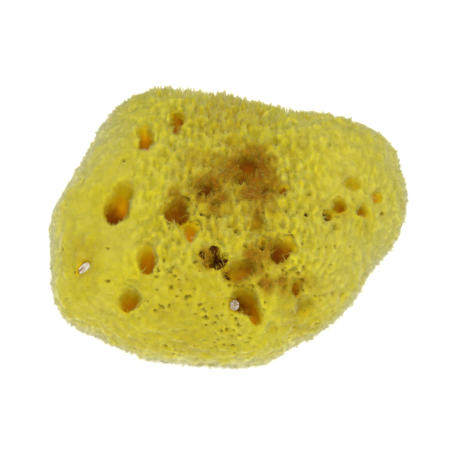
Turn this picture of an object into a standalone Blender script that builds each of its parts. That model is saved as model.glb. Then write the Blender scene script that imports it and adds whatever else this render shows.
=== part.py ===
"""A natural bath sponge, grown as one piece and cut flat where it stood on its rock.

Metres, +Z up. The origin is near the middle of the flat cut face, which the sponge rests on.
"""

import math
import random
from collections import namedtuple

import bmesh
import bpy
import numpy as np
from mathutils import Vector, noise

# The driving sizes are in millimetres and become metres when a mesh is made.
MM = 0.001

# Plan of the sponge at its widest: how far the skin is from the origin, every 15 degrees from +X
# towards +Y. It is a rounded lump with blunt corners at 30, 130 and 210 degrees.
PLAN_RADII = (
    59, 63, 64, 55, 47, 46, 48, 54, 60, 60, 57, 57,
    62, 62, 64, 57, 53, 49, 49, 49, 46, 48, 49, 50,
)

# Side profile: a pillow, widest at WIDEST_LEVEL, whose underside would reach KEEL below that if it
# weren't cut off flat at the rock.
WIDEST_LEVEL = 23
CROWN = 30
KEEL = 32
SQUARENESS = 2.5

# Broad swells and dents of the crown: x, y, radius, rise. The dents are the dished middle, the runnel
# that leads out of it to the front, the hollow behind the left corner and the fold near that corner.
SWELLS = (
    (-38, 12, 15, 2.0),
    (34, 14, 14, 2.0),
    (24, -26, 10, 1.5),
    (7, 5, 12, -5.5),
    (9, -15, 6, -2.0),
    (3, -33, 8, -2.5),
    (-12, 46, 6, -3.0),
    (-30, -22, 12, -1.0),
    (-50, -23, 8, -1.5),
)
LUMP_SPACING = 19
LUMP_RISE = 1.7

# The tufts that cover the skin. The real ones stand 2 to 3 mm apart; here each stands for a clump.
TUFT_COUNT = 1175
TUFT_HEIGHT = 2.0
TUFT_LEAN = 0.4
UNEVENNESS = 0.45
LOWEST_LATITUDE = -52
PROFILE_STEPS = 600
LEAST_REACH = 0.1
SEED = 12

# Mouths in the crown: x, y, width, length, turn of the length from +Y in degrees, depth, and how far
# in x and y the channel's end lies from under its mouth.
CROWN_MOUTHS = (
    (-36.4, -9.2, 8, 9, 15, 23, -3, -4),
    (-34.4, -3.8, 5.5, 8, 10, 10, -1, -3),
    (-16.9, -11.8, 9, 8, 0, 26, -2, -3),
    (-12.5, -18.7, 5.5, 8, 20, 7, 0, -1),
    (-28, 17.3, 5, 9, 0, 15, -1, -3),
    (-28.9, 22.5, 4, 7, -15, 4, 0, 0),
    (-17.9, 26.3, 4.4, 13.5, 0, 14, 1, -2),
    (-26.1, -27.7, 5.5, 8.5, 0, 17, 0, -4),
    (-32.4, -37.6, 7.4, 6, 0, 13, 1, 0),
    (-7.6, -2.6, 6, 6, 0, 15, 0, -2),
    (6.7, 8.6, 7, 7, 0, 5, 0, 1),
    (4.2, 2.2, 6, 4, 30, 8, -1, -2),
    (12.2, -1.8, 6, 4, -20, 8, 2, -1),
    (17.6, -2.8, 5, 3.6, 0, 7, 2, 0),
    (-3.9, -8.8, 3.6, 3.6, 0, 9, 0, 0),
    (9.4, -15.2, 6, 6.5, 0, 3.5, 0, 0),
    (-3.8, -27.8, 5, 5, 20, 18, -2, -1),
    (3.2, -31.2, 5.6, 12.5, -72, 5.5, 0, 0),
    (11, -22.6, 3, 3, 0, 8, 0, 0),
    (16.1, -25, 5.5, 7, -15, 22, -3, -4),
    (19.2, -23, 5, 7, -20, 8, -2, -2),
    (5, -39.8, 8, 7.5, -30, 20, -2, 2),
    (8.6, -43, 4, 7, 20, 9, -1, 1),
    (21.6, -33.8, 3.2, 6, 0, 9, 0, 1),
    (25.2, -37.4, 7, 7, 0, 4.5, 0, 1),
    (14, -45.1, 4, 4.4, 0, 4, 0, 1),
    (32.6, -10, 3, 4, 0, 9, 0, 0),
    (36.2, -6.6, 5.5, 5, -20, 11, 1, 0),
    (44.4, -5.6, 4.4, 4.6, 0, 9, -1, 0),
    (42, 1.6, 4, 8, -75, 2.6, 0, 0),
    (50.2, 0.3, 5.5, 3.8, 0, 5, -2, 0),
)

# The two channels that go right through, along a slant: the same columns as above. They open out
# towards the flat cut.
THROUGH_MOUTHS = (
    (-47.2, -26.9, 2.5, 6.4, -36, 60, -8, 34),
    (1.6, -41.2, 3, 3.8, 0, 62, 1, 34),
)

# Mouths in the flanks: bearing in degrees from +X towards +Y, level, width, height, depth.
FLANK_MOUTHS = (
    (18, 25, 8, 9, 22),
    (42, 15, 6, 5, 14),
    (62, 31, 7, 8, 18),
    (88, 17, 8, 7, 20),
    (112, 29, 5, 6, 14),
    (128, 14, 7, 6, 18),
    (150, 27, 8, 9, 22),
    (176, 14, 5, 5, 12),
    (208, 12, 6, 6, 15),
    (232, 8, 5, 5, 12),
    (262, 10, 7, 5, 16),
    (300, 9, 6, 5, 16),
    (334, 22, 7, 8, 18),
)

# Mouths in the flat cut: x, y, width, length, turn, depth.
CUT_MOUTHS = (
    (-24, 14, 8, 7, 10, 16),
    (-8, -22, 6, 8, 40, 14),
    (14, 18, 9, 7, -20, 18),
    (27, -8, 6, 6, 0, 12),
    (-6, 31, 5, 6, 0, 10),
    (-32, -14, 5, 5, 0, 10),
)

# A channel seen from its mouth. inward points into the sponge, across is the direction that the width
# is measured in, drift is how far to the side its end lies, and taper is how its width changes.
Mouth = namedtuple("Mouth", "centre inward across width length depth drift taper")

# How a channel narrows from its flared mouth to its rounded end, and how one that goes right through
# widens: (share of the depth, share of the mouth). The cutter starts OVERSHOOT outside the skin, and
# its outline is off round by MOUTH_WOBBLE.
BLIND_TAPER = ((0.3, 0.94), (0.78, 0.68), (1.0, 0.24))
THROUGH_TAPER = ((0.25, 1.3), (1.0, 2.3))
MOUTH_FLARE = 1.25
OVERSHOOT = 6
MOUTH_WOBBLE = 0.12
SIDES = 10
SIDES_OF_SMALL = 7
SMALL_MOUTH = 6
SIDE_DRIFT = 4

# Edges that bend by more degrees than this look sharp; the channel walls are rounder than that.
SHARP_ANGLE = 50


def clear_scene():
    for obj in list(bpy.data.objects):
        bpy.data.objects.remove(obj, do_unlink=True)


def sponge_material():
    material = bpy.data.materials.new("spongin")
    material.use_nodes = True
    shader = material.node_tree.nodes["Principled BSDF"]
    shader.inputs["Base Color"].default_value = (0.58, 0.51, 0.055, 1)
    shader.inputs["Roughness"].default_value = 0.9
    shader.inputs["Metallic"].default_value = 0.0
    return material


def plan_radius(bearing):
    """Distance in mm from the axis to the widest skin, on one smooth closed curve through PLAN_RADII."""
    count = len(PLAN_RADII)
    step = (bearing / math.tau * count) % count
    first = int(step)
    t = step - first
    a, b, c, d = (PLAN_RADII[(first + i) % count] for i in (-1, 0, 1, 2))
    slope_b = (c - a) / 2
    slope_c = (d - b) / 2
    return (
        b * (2 * t**3 - 3 * t**2 + 1)
        + c * (3 * t**2 - 2 * t**3)
        + slope_b * (t**3 - 2 * t**2 + t)
        + slope_c * (t**3 - t**2)
    )


def pillow(latitude):
    """(share of the plan radius, level in mm above the widest section) at a latitude of the pillow."""
    reach = abs(math.cos(latitude)) ** (2 / SQUARENESS)
    rise = abs(math.sin(latitude)) ** (2 / SQUARENESS)
    return reach, rise * CROWN if latitude > 0 else -rise * KEEL


def crown_rise(x, y):
    """How much the swells and dents lift a point of the plan."""
    total = 0
    for middle_x, middle_y, radius, rise in SWELLS:
        distance = math.hypot(x - middle_x, y - middle_y)
        total += rise * math.exp(-((distance / radius) ** 2))
    return total


def skin_point(bearing, latitude):
    """Point of the smooth skin, in mm, without its tufts."""
    reach, level = pillow(latitude)
    radius = plan_radius(bearing) * reach
    point = Vector((radius * math.cos(bearing), radius * math.sin(bearing), WIDEST_LEVEL + level))
    if latitude > 0:
        point.z += crown_rise(point.x, point.y) * math.sin(latitude)
    outward = Vector((point.x, point.y, 2 * level)).normalized()
    return point + outward * LUMP_RISE * noise.noise(point / LUMP_SPACING)


def crown_level(x, y):
    """Height of the smooth crown over a point of the plan."""
    share = min(math.hypot(x, y) / plan_radius(math.atan2(y, x)), 1)
    rise = CROWN * (1 - share**SQUARENESS) ** (1 / SQUARENESS)
    return WIDEST_LEVEL + rise + crown_rise(x, y)


def flank_reach(bearing, level):
    """Distance from the axis to the skin at a bearing and a level."""
    above = level - WIDEST_LEVEL
    share = abs(above) / (CROWN if above > 0 else KEEL)
    return plan_radius(bearing) * (1 - share**SQUARENESS) ** (1 / SQUARENESS)


def even_latitudes(count, mean_radius):
    """Latitudes, lowest first, that give each of count points the same area of skin."""
    latitudes = np.radians(np.linspace(LOWEST_LATITUDE, 90, PROFILE_STEPS))
    profile = np.array([pillow(latitude) for latitude in latitudes])
    reach = profile[:, 0] * mean_radius
    bands = np.hypot(np.diff(reach), np.diff(profile[:, 1])) * (reach[1:] + reach[:-1])
    area = np.concatenate([[0], np.cumsum(bands)])
    return np.interp((np.arange(count) + 0.5) / count * area[-1], area, latitudes)


def skin_mesh(chance):
    """The lump without its channels: tufts set out on a golden spiral, joined into a closed skin.

    The skin is joined up on a pillow of round plan, where no point is hidden behind its neighbours,
    and then stretched to the sponge's own plan.
    """
    golden_turn = math.pi * (3 - math.sqrt(5))
    mean_radius = sum(PLAN_RADII) / len(PLAN_RADII)
    latitudes = even_latitudes(TUFT_COUNT, mean_radius)
    slack = UNEVENNESS * 2 / math.sqrt(TUFT_COUNT)
    bm = bmesh.new()
    places = {}
    for index, even_latitude in enumerate(latitudes):
        latitude = min(even_latitude + chance.uniform(-slack, slack), math.pi / 2)
        reach, level = pillow(latitude)
        bearing = index * golden_turn + chance.uniform(-slack, slack) / max(reach, LEAST_REACH)
        flat_x = math.cos(bearing) * reach * mean_radius
        flat_y = math.sin(bearing) * reach * mean_radius
        places[bm.verts.new((flat_x, flat_y, level))] = skin_point(bearing, latitude)
    bmesh.ops.convex_hull(bm, input=bm.verts)
    bmesh.ops.delete(bm, geom=[vert for vert in bm.verts if not vert.link_faces], context="VERTS")
    for vert in bm.verts:
        vert.co = places[vert]
    bmesh.ops.join_triangles(
        bm, faces=bm.faces, angle_face_threshold=math.pi, angle_shape_threshold=math.pi
    )
    bm.normal_update()
    raise_tufts(bm, chance)
    cut_at_rock(bm)
    return bm


def raise_tufts(bm, chance):
    """Pulls each face of the skin up into a pointed tuft that leans a little at random."""
    tips = bmesh.ops.poke(bm, faces=bm.faces)["verts"]
    bm.normal_update()
    for tip in tips:
        lean = Vector([chance.gauss(0, TUFT_LEAN) for _ in range(3)])
        tip.co += tip.normal * TUFT_HEIGHT * chance.uniform(0.5, 1.3) + lean


def cut_at_rock(bm):
    """Cuts the keel off flat at level 0 and closes the cut."""
    everything = bm.verts[:] + bm.edges[:] + bm.faces[:]
    bmesh.ops.bisect_plane(
        bm, geom=everything, dist=1e-4, plane_co=(0, 0, 0), plane_no=(0, 0, 1), clear_inner=True
    )
    rim = [edge for edge in bm.edges if edge.is_boundary]
    bmesh.ops.holes_fill(bm, edges=rim, sides=0)
    bmesh.ops.triangulate(bm, faces=[face for face in bm.faces if len(face.verts) > 4])
    bmesh.ops.recalc_face_normals(bm, faces=bm.faces)


def finish_mesh(bm, name, material):
    """Makes an object in metres of a bmesh drawn in millimetres."""
    bmesh.ops.scale(bm, vec=(MM, MM, MM), verts=bm.verts)
    mesh = bpy.data.meshes.new(name)
    bm.to_mesh(mesh)
    bm.free()
    mesh.materials.append(material)
    mesh.shade_smooth()
    mesh.set_sharp_from_angle(angle=math.radians(SHARP_ANGLE))
    return bpy.data.objects.new(name, mesh)


def direction(degrees):
    """Level direction at a bearing from +X towards +Y."""
    return Vector((math.cos(math.radians(degrees)), math.sin(math.radians(degrees)), 0))


def crown_mouths(mouths, taper):
    for x, y, width, length, turn, depth, drift_x, drift_y in mouths:
        centre = Vector((x, y, crown_level(x, y)))
        drift = Vector((drift_x, drift_y, 0))
        yield Mouth(centre, Vector((0, 0, -1)), direction(turn), width, length, depth, drift, taper)


def flank_mouths(chance):
    for degrees, level, width, height, depth in FLANK_MOUTHS:
        outward = direction(degrees)
        centre = outward * flank_reach(math.radians(degrees), level) + Vector((0, 0, level))
        sideways = direction(degrees + 90)
        drift = sideways * chance.uniform(-SIDE_DRIFT, SIDE_DRIFT)
        yield Mouth(centre, -outward, sideways, width, height, depth, drift, BLIND_TAPER)


def cut_mouths(chance):
    for x, y, width, length, turn, depth in CUT_MOUTHS:
        centre = Vector((x, y, 0))
        drift = direction(chance.uniform(0, 360)) * SIDE_DRIFT
        yield Mouth(centre, Vector((0, 0, 1)), direction(turn), width, length, depth, drift, BLIND_TAPER)


def channel_cutter(name, mouth, chance, material):
    """A cutter for one channel: an oval tube from outside the mouth to its end."""
    along = mouth.inward.cross(mouth.across)
    sides = SIDES if max(mouth.width, mouth.length) > SMALL_MOUTH else SIDES_OF_SMALL
    outline = []
    for side in range(sides):
        angle = math.tau * side / sides
        out = mouth.across * math.cos(angle) * mouth.width + along * math.sin(angle) * mouth.length
        outline.append(out / 2 * (1 + chance.uniform(-MOUTH_WOBBLE, MOUTH_WOBBLE)))
    bm = bmesh.new()
    rings = []
    for share, scale in ((-OVERSHOOT / mouth.depth, MOUTH_FLARE), *mouth.taper):
        middle = mouth.centre + (mouth.inward * mouth.depth + mouth.drift) * share
        rings.append([bm.verts.new(middle + out * scale) for out in outline])
    for upper, lower in zip(rings, rings[1:]):
        for side in range(sides):
            after = (side + 1) % sides
            bm.faces.new((upper[side], upper[after], lower[after], lower[side]))
    bm.faces.new(rings[0])
    bm.faces.new(rings[-1])
    bmesh.ops.recalc_face_normals(bm, faces=bm.faces)
    cutter = finish_mesh(bm, name, material)
    cutter.hide_render = True
    cutter.display_type = "WIRE"
    return cutter


def build():
    clear_scene()
    chance = random.Random(SEED)
    material = sponge_material()
    sponge = finish_mesh(skin_mesh(chance), "sponge", material)
    bpy.context.scene.collection.objects.link(sponge)

    channels = bpy.data.collections.new("channels")
    bpy.context.scene.collection.children.link(channels)
    mouths = [
        *crown_mouths(CROWN_MOUTHS, BLIND_TAPER),
        *crown_mouths(THROUGH_MOUTHS, THROUGH_TAPER),
        *flank_mouths(chance),
        *cut_mouths(chance),
    ]
    for index, mouth in enumerate(mouths):
        channels.objects.link(channel_cutter(f"channel_{index}", mouth, chance, material))

    carve = sponge.modifiers.new("channels", "BOOLEAN")
    carve.operation = "DIFFERENCE"
    carve.solver = "EXACT"
    carve.operand_type = "COLLECTION"
    carve.collection = channels


build()
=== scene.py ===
# %% [markdown]
# # A sea sponge on a pale table
#
# A natural bath sponge is one springy skeleton of spongin fibre. Seen from a step away it is a low
# lump with a few dozen deep round channels. Seen closer, its whole skin is set with small pointed
# tufts, and each tuft is a brush of fine hairs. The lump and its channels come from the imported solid.
# This script gives them a fine skin, grows tufts, fuzz and single fibres on it as real meshes, and
# colours them all with one recipe.

# %% Load the frame
import math
from collections import namedtuple

import bpy
import numpy as np
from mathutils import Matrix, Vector, noise
from mathutils.bvhtree import BVHTree
from mathutils.kdtree import KDTree


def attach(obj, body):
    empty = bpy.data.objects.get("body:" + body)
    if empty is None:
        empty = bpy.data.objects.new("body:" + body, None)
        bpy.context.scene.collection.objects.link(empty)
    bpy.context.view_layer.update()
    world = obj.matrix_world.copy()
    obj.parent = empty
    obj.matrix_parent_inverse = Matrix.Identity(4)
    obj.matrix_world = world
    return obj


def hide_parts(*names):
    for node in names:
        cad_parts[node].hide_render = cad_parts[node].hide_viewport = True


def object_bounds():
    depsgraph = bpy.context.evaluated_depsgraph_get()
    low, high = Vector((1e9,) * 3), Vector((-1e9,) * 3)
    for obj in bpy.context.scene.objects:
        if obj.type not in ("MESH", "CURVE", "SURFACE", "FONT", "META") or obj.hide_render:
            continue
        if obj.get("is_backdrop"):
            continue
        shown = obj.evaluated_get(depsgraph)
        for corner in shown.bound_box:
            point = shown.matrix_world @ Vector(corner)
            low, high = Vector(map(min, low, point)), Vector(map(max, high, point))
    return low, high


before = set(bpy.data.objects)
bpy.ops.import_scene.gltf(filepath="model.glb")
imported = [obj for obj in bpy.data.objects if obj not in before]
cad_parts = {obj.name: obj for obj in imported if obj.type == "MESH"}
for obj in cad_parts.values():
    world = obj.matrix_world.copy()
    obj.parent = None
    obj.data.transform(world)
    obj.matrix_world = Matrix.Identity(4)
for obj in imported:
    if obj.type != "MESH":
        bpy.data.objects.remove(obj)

MM = 0.001
SEED = 7

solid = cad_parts["sponge"]
solid_low, solid_high = (np.array(corner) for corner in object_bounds())
dice = np.random.default_rng(SEED)
print("solid box in mm:", (solid_high - solid_low) / MM)

# %% [markdown]
# ## Camera
#
# The photograph looks down on the sponge at a steep angle, and its edges hardly converge, so it was
# taken from some distance. A 100 mm lens does the same. The distance is worked out so that one pixel
# of the frame covers 0.35 mm of the sponge.

# %% Camera
FRAME_PIXELS = 458
MM_PER_PIXEL = 0.35
LENS = 100
SENSOR = 36
LOOK_DOWN = math.radians(58)
LOOK_AT = Vector((0, 0, 22 * MM))

half_view = math.atan(SENSOR / 2 / LENS)
distance = FRAME_PIXELS * MM_PER_PIXEL * MM / 2 / math.tan(half_view)
towards_camera = Vector((0, -math.cos(LOOK_DOWN), math.sin(LOOK_DOWN)))
bpy.ops.object.camera_add(location=LOOK_AT + towards_camera * distance)
camera = bpy.context.object
camera.rotation_euler = (-towards_camera).to_track_quat("-Z", "Y").to_euler()
camera.data.lens = LENS
camera.data.sensor_width = SENSOR
bpy.context.scene.camera = camera
print("camera stands", round(distance / MM), "mm away")

# %% [markdown]
# ## Table
#
# The sponge lies on something so bright and even that no edge or shadow of it shows, as on a light
# table. Light that comes up through the table also reaches the channels that run right through. A
# white plane that glows a little does the same, and is staged as a floor, so it isn't part of the
# sponge.

# %% Table
FLOOR_SIZE = 4
FLOOR_GLOW = 0.6
FLOOR_GREY = 0.8
FLOOR_ROUGHNESS = 0.6
WHITE = (1, 1, 1, 1)


def nothing_selected():
    if bpy.context.object and bpy.context.object.mode != "OBJECT":
        bpy.ops.object.mode_set(mode="OBJECT")
    bpy.ops.object.select_all(action="DESELECT")


def table_white():
    material = bpy.data.materials.new("table_white")
    material.use_nodes = True
    shader = material.node_tree.nodes["Principled BSDF"]
    shader.inputs["Base Color"].default_value = (FLOOR_GREY, FLOOR_GREY, FLOOR_GREY, 1)
    shader.inputs["Roughness"].default_value = FLOOR_ROUGHNESS
    shader.inputs["Emission Color"].default_value = WHITE
    shader.inputs["Emission Strength"].default_value = FLOOR_GLOW
    return material


nothing_selected()
bpy.ops.mesh.primitive_plane_add(size=FLOOR_SIZE)
floor = bpy.context.object
floor.name = "table"
floor.data.materials.append(table_white())
floor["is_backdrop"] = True
print("table is", FLOOR_SIZE, "m wide")

# %% [markdown]
# ## Light
#
# A pale world lights all sides alike, as white walls would. One large soft lamp above the camera gives
# the tufts their shape. The Standard view keeps the colours as they are mixed below, where a filmic
# one would grey the yellow.

# %% Light
WORLD_STRENGTH = 0.7
LAMP_AT = Vector((0.04, -0.28, 0.74))
LAMP_SIZE = 0.3
LAMP_WATTS = 3.6

world = bpy.data.worlds.new("pale_room")
world.use_nodes = True
world.node_tree.nodes["Background"].inputs["Color"].default_value = WHITE
world.node_tree.nodes["Background"].inputs["Strength"].default_value = WORLD_STRENGTH
bpy.context.scene.world = world

bpy.ops.object.light_add(type="AREA", location=LAMP_AT)
lamp = bpy.context.object
lamp.data.energy = LAMP_WATTS
lamp.data.size = LAMP_SIZE
lamp.rotation_euler = (LOOK_AT - LAMP_AT).to_track_quat("-Z", "Y").to_euler()
bpy.context.scene.view_settings.view_transform = "Standard"
print("lamp", round((LAMP_AT - LOOK_AT).length, 2), "m from the sponge")

# %% [markdown]
# ## Reading and writing points
#
# A skin this fine has nearly a hundred thousand points, too many to push about one by one. Blender
# can hand over a whole mesh as one long list and take it back the same way, and NumPy works on such a
# list at once. These helpers do the handing over. A value that is stored on the points, such as how
# brown a place is, can be read again by the material.

# %% Reading and writing points
def read_vectors(mesh, kind):
    vectors = np.empty(len(mesh.vertices) * 3, np.float32)
    mesh.vertices.foreach_get(kind, vectors)
    return vectors.reshape(-1, 3).astype(float)


def read_edges(mesh):
    ends = np.empty(len(mesh.edges) * 2, np.int32)
    mesh.edges.foreach_get("vertices", ends)
    return ends.reshape(-1, 2)


def write_points(mesh, points):
    mesh.vertices.foreach_set("co", points.astype(np.float32).ravel())
    mesh.update()


def store(mesh, name, values):
    attribute = mesh.attributes.new(name, "FLOAT", "POINT")
    attribute.data.foreach_set("value", np.asarray(values, np.float32))


# %% [markdown]
# ## Soft steps and blurs
#
# Grown things have no hard borders. A soft step turns any measure into a share from 0 to 1, with no
# kink at either end. A blur gives each point the mean of itself and its neighbours along the edges, as
# the Smooth brush does, and it works on heights, directions and shares alike.

# %% Soft steps and blurs
SHORTEST = 1e-12


def smooth_step(low, high, values):
    part = np.clip((values - low) / (high - low), 0, 1)
    return part * part * (3 - 2 * part)


def unit(vectors):
    return vectors / np.maximum(np.linalg.norm(vectors, axis=-1, keepdims=True), SHORTEST)


def blurred(values, edges, rounds):
    degree = np.bincount(edges.ravel(), minlength=len(values)).astype(float)
    for _ in range(rounds):
        total = np.bincount(edges[:, 0], values[edges[:, 1]], len(values))
        total += np.bincount(edges[:, 1], values[edges[:, 0]], len(values))
        values = (values + total) / (1 + degree)
    return values


def blurred_ways(ways, edges, rounds):
    return unit(np.stack([blurred(ways[:, axis], edges, rounds) for axis in range(3)], axis=1))


# %% [markdown]
# ## Near points and open sky
#
# Two measures are needed again and again: which point of a set is nearest, and how much open sky a
# point can see. The sky is felt for with rays that fan out evenly over the half sphere above the
# point. A point on the outer skin sees nearly all of it, a point down in a channel hardly any, so this
# one number tells the skin, the lips and the channels apart.
#
# side_vectors gives two directions square to each axis, which the rays need to fan out, and the hairs
# later on to have a width.

# %% Near points and open sky
SKY_RAYS = 16
SKY_REACH = 30 * MM
SKY_LIFT = 0.8 * MM
STEEP = 0.9


def side_vectors(axes):
    helper = np.where(np.abs(axes[:, 2:3]) < STEEP, [[0, 0, 1.0]], [[1.0, 0, 0]])
    first = unit(np.cross(helper, axes))
    return first, np.cross(axes, first)


def tree_of(points):
    tree = KDTree(len(points))
    for index, point in enumerate(points):
        tree.insert(point, index)
    tree.balance()
    return tree


def nearest(tree, points):
    found = [tree.find(point) for point in points]
    return np.array([index for _, index, _ in found]), np.array([gap for _, _, gap in found])


def open_sky(tree, points, normals):
    first, second = side_vectors(normals)
    starts = points + normals * SKY_LIFT
    seen = np.zeros(len(points))
    for number in range(SKY_RAYS):
        turn = number * math.pi * (3 - math.sqrt(5))
        height = math.sqrt((number + 0.5) / SKY_RAYS)
        flat = math.sqrt(1 - height**2)
        ways = first * (flat * math.cos(turn)) + second * (flat * math.sin(turn)) + normals * height
        seen += [tree.ray_cast(start, way, SKY_REACH)[0] is None for start, way in zip(starts, ways)]
    return seen / SKY_RAYS


# %% [markdown]
# ## Skin from the solid
#
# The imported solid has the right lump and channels, but its tufts are coarse facets. Sculpting new ones
# over it by hand would lose its size. So a copy of it is merged, since its triangles come loose, and
# remeshed into small even squares, which is the same as pouring it anew in fine sand.

# %% Skin from the solid
FIRST_VOXEL = 0.8 * MM
FIRST_SMOOTH = 3
SMOOTH_FACTOR = 0.5
MERGE_WITHIN = 1e-6


def add_modifier(piece, kind, **settings):
    modifier = piece.modifiers.new(kind.lower(), kind)
    for setting, value in settings.items():
        setattr(modifier, setting, value)
    bpy.ops.object.modifier_apply(modifier=modifier.name)


nothing_selected()
skin = bpy.data.objects.new("sponge_skin", solid.data.copy())
bpy.context.scene.collection.objects.link(skin)
skin.data.materials.clear()
skin.select_set(True)
bpy.context.view_layer.objects.active = skin
bpy.ops.object.mode_set(mode="EDIT")
bpy.ops.mesh.select_all(action="SELECT")
bpy.ops.mesh.remove_doubles(threshold=MERGE_WITHIN)
bpy.ops.object.mode_set(mode="OBJECT")
add_modifier(skin, "REMESH", mode="VOXEL", voxel_size=FIRST_VOXEL)
add_modifier(skin, "SMOOTH", factor=SMOOTH_FACTOR, iterations=FIRST_SMOOTH)
print("first remesh has", len(skin.data.vertices), "points")

# %% [markdown]
# ## How open each point lies
#
# A render shows a deep place by its shade, but the script needs it as a number on each point. The sky
# is felt for once, on this first skin, and carried over to the finer ones by nearest point. A few
# rounds of blur take the jumps out of it, because sixteen rays can only tell sixteen steps apart.

# %% How open each point lies
DEEP_IN = 0.42
ROUGH_NORMAL_BLUR = 2
ROUGH_SKY_BLUR = 4

rough_points = read_vectors(skin.data, "co")
rough_edges = read_edges(skin.data)
rough_tree = BVHTree.FromObject(skin, bpy.context.evaluated_depsgraph_get())
rough_normals = blurred_ways(read_vectors(skin.data, "normal"), rough_edges, ROUGH_NORMAL_BLUR)
rough_seen = blurred(open_sky(rough_tree, rough_points, rough_normals), rough_edges, ROUGH_SKY_BLUR)
print("share of points deep in a channel:", round(float((rough_seen < DEEP_IN).mean()), 2))

# %% [markdown]
# ## Melting the facets
#
# Only the open skin is smoothed hard, so that the facets melt and the channels keep their width. The
# Smooth modifier takes a vertex group for that, and the group is filled in ten steps of weight. The
# cut face lies on the table and stays flat. A second, finer remesh gives the even squares that the
# relief is pressed into.

# %% Melting the facets
OPEN_SKIN = (0.45, 0.75)
CUT_LEVEL = 1.5 * MM
SKIN_SMOOTH = 14
FINE_VOXEL = 0.65 * MM
WEIGHT_STEPS = 10

weight = smooth_step(*OPEN_SKIN, rough_seen) * (rough_points[:, 2] > CUT_LEVEL)
group = skin.vertex_groups.new(name="outer")
for level in range(1, WEIGHT_STEPS + 1):
    members = np.nonzero(np.round(weight * WEIGHT_STEPS) == level)[0]
    group.add(members.tolist(), level / WEIGHT_STEPS, "REPLACE")
add_modifier(skin, "SMOOTH", factor=SMOOTH_FACTOR, iterations=SKIN_SMOOTH, vertex_group="outer")
add_modifier(skin, "REMESH", mode="VOXEL", voxel_size=FINE_VOXEL)
add_modifier(skin, "SMOOTH", factor=SMOOTH_FACTOR, iterations=FIRST_SMOOTH)
print("second remesh has", len(skin.data.vertices), "points")

# %% [markdown]
# ## Thinning the lining
#
# The walls deep in the channels and the cut face carry no fine relief, so they can do with an eighth of
# their points. They are selected by how much sky they see, and decimated in edit mode, which leaves
# the open skin as it is.

# %% Thinning the lining
LINING_RATIO = 0.12
CUT_FACE = 0.5 * MM

points = read_vectors(skin.data, "co")
rough_index, _ = nearest(tree_of(rough_points), points)
lining = (rough_seen[rough_index] < DEEP_IN) | (points[:, 2] < CUT_FACE)
skin.data.vertices.foreach_set("select", lining)
skin.data.edges.foreach_set("select", lining[read_edges(skin.data)].all(axis=1))
bpy.ops.object.mode_set(mode="EDIT")
bpy.ops.mesh.select_mode(type="VERT")
bpy.ops.mesh.decimate(ratio=LINING_RATIO)
bpy.ops.object.mode_set(mode="OBJECT")
skin.data.calc_loop_triangles()
print("skin has", len(skin.data.vertices), "points and", len(skin.data.loop_triangles), "triangles")

# %% [markdown]
# ## Soft lips
#
# On the real sponge the skin rolls over into each channel. A bevel would need a clear edge to follow,
# and a grown lip has none. But the points on a lip see about half of the sky, so they can be picked by
# that and evened out some more.

# %% Soft lips
LIP_SMOOTH = 8
LIP_FROM = (0.3, 0.45)
LIP_TO = (0.85, 0.65)
LIP_LEVEL = 2 * MM
SKY_BLUR = 3
NORMAL_BLUR = 6

mesh = skin.data
points = read_vectors(mesh, "co")
edges = read_edges(mesh)
rough_index, _ = nearest(tree_of(rough_points), points)
seen = blurred(rough_seen[rough_index], edges, SKY_BLUR)
lip = smooth_step(*LIP_FROM, seen) * smooth_step(*LIP_TO, seen) * (points[:, 2] > LIP_LEVEL)
for _ in range(LIP_SMOOTH):
    even = np.stack([blurred(points[:, axis], edges, 1) for axis in range(3)], axis=1)
    points += (even - points) * lip[:, None]
write_points(mesh, points)
normals = blurred_ways(read_vectors(mesh, "normal"), edges, NORMAL_BLUR)
print("share of points on a lip:", round(float((lip > 0.5).mean()), 2))

# %% [markdown]
# ## Which way the lump faces
#
# The tufts and the colour follow the large form: where the lump turns down, the tufts are combed
# outwards and the skin is painted paler, as painted edge light. A normal of the skin itself swings about
# at every dent, so the large form is read from a convex hull, as if the sponge were wrapped in stretched
# foil.

# %% Which way the lump faces
HULL_BLUR = 30


def hull_of(piece):
    nothing_selected()
    hull = piece.copy()
    hull.data = piece.data.copy()
    bpy.context.scene.collection.objects.link(hull)
    hull.select_set(True)
    bpy.context.view_layer.objects.active = hull
    bpy.ops.object.mode_set(mode="EDIT")
    bpy.ops.mesh.select_all(action="SELECT")
    bpy.ops.mesh.convex_hull()
    bpy.ops.object.mode_set(mode="OBJECT")
    tree = BVHTree.FromObject(hull, bpy.context.evaluated_depsgraph_get())
    bpy.data.objects.remove(hull)
    return tree


hull_tree = hull_of(skin)
hull_normals = np.array([hull_tree.find_nearest(point)[1] for point in points])
hull_normals = blurred_ways(hull_normals, edges, HULL_BLUR)
print("share of the skin that faces up:", round(float((hull_normals[:, 2] > 0.5).mean()), 2))

# %% [markdown]
# ## Where the skin is calm and where it is wild
#
# The photographed sponge isn't the same all over. It is calm and close-cropped at the left and the
# front, streaky at the back and the right, where long tufts are combed outwards, and wild in the
# middle. Each of these is a share from 0 to 1 over the plan. A pair of numbers says where it starts
# and where it is full, in millimetres. Two more shares tell the outer skin from the channels, and the
# brow of the lump, which faces up, from its sides.

# %% Where the skin is calm and where it is wild
OUTER_SKY = (0.45, 0.7)
OUTER_LEVEL = (0.4 * MM, 2 * MM)
CALM_LEFT = (-14, -40)
CALM_FRONT = (-14, -40)
CALM_RIGHT = (12, 40)
CALM_BACK_ENDS = (15, 40)
CALM_FRONT_SHARE = 0.88
CALM_RIGHT_SHARE = 0.7
CALM_BACK_LOSS = 0.3
STREAKY_BACK = (5, 30)
STREAKY_RIGHT = (20, 42)
STREAKY_CALM_LOSS = 0.7
MIDDLE_AT = (5, -26)
MIDDLE_FADE = (38, 12)
BROW_TILT = (0.3, 0.85)

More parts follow.
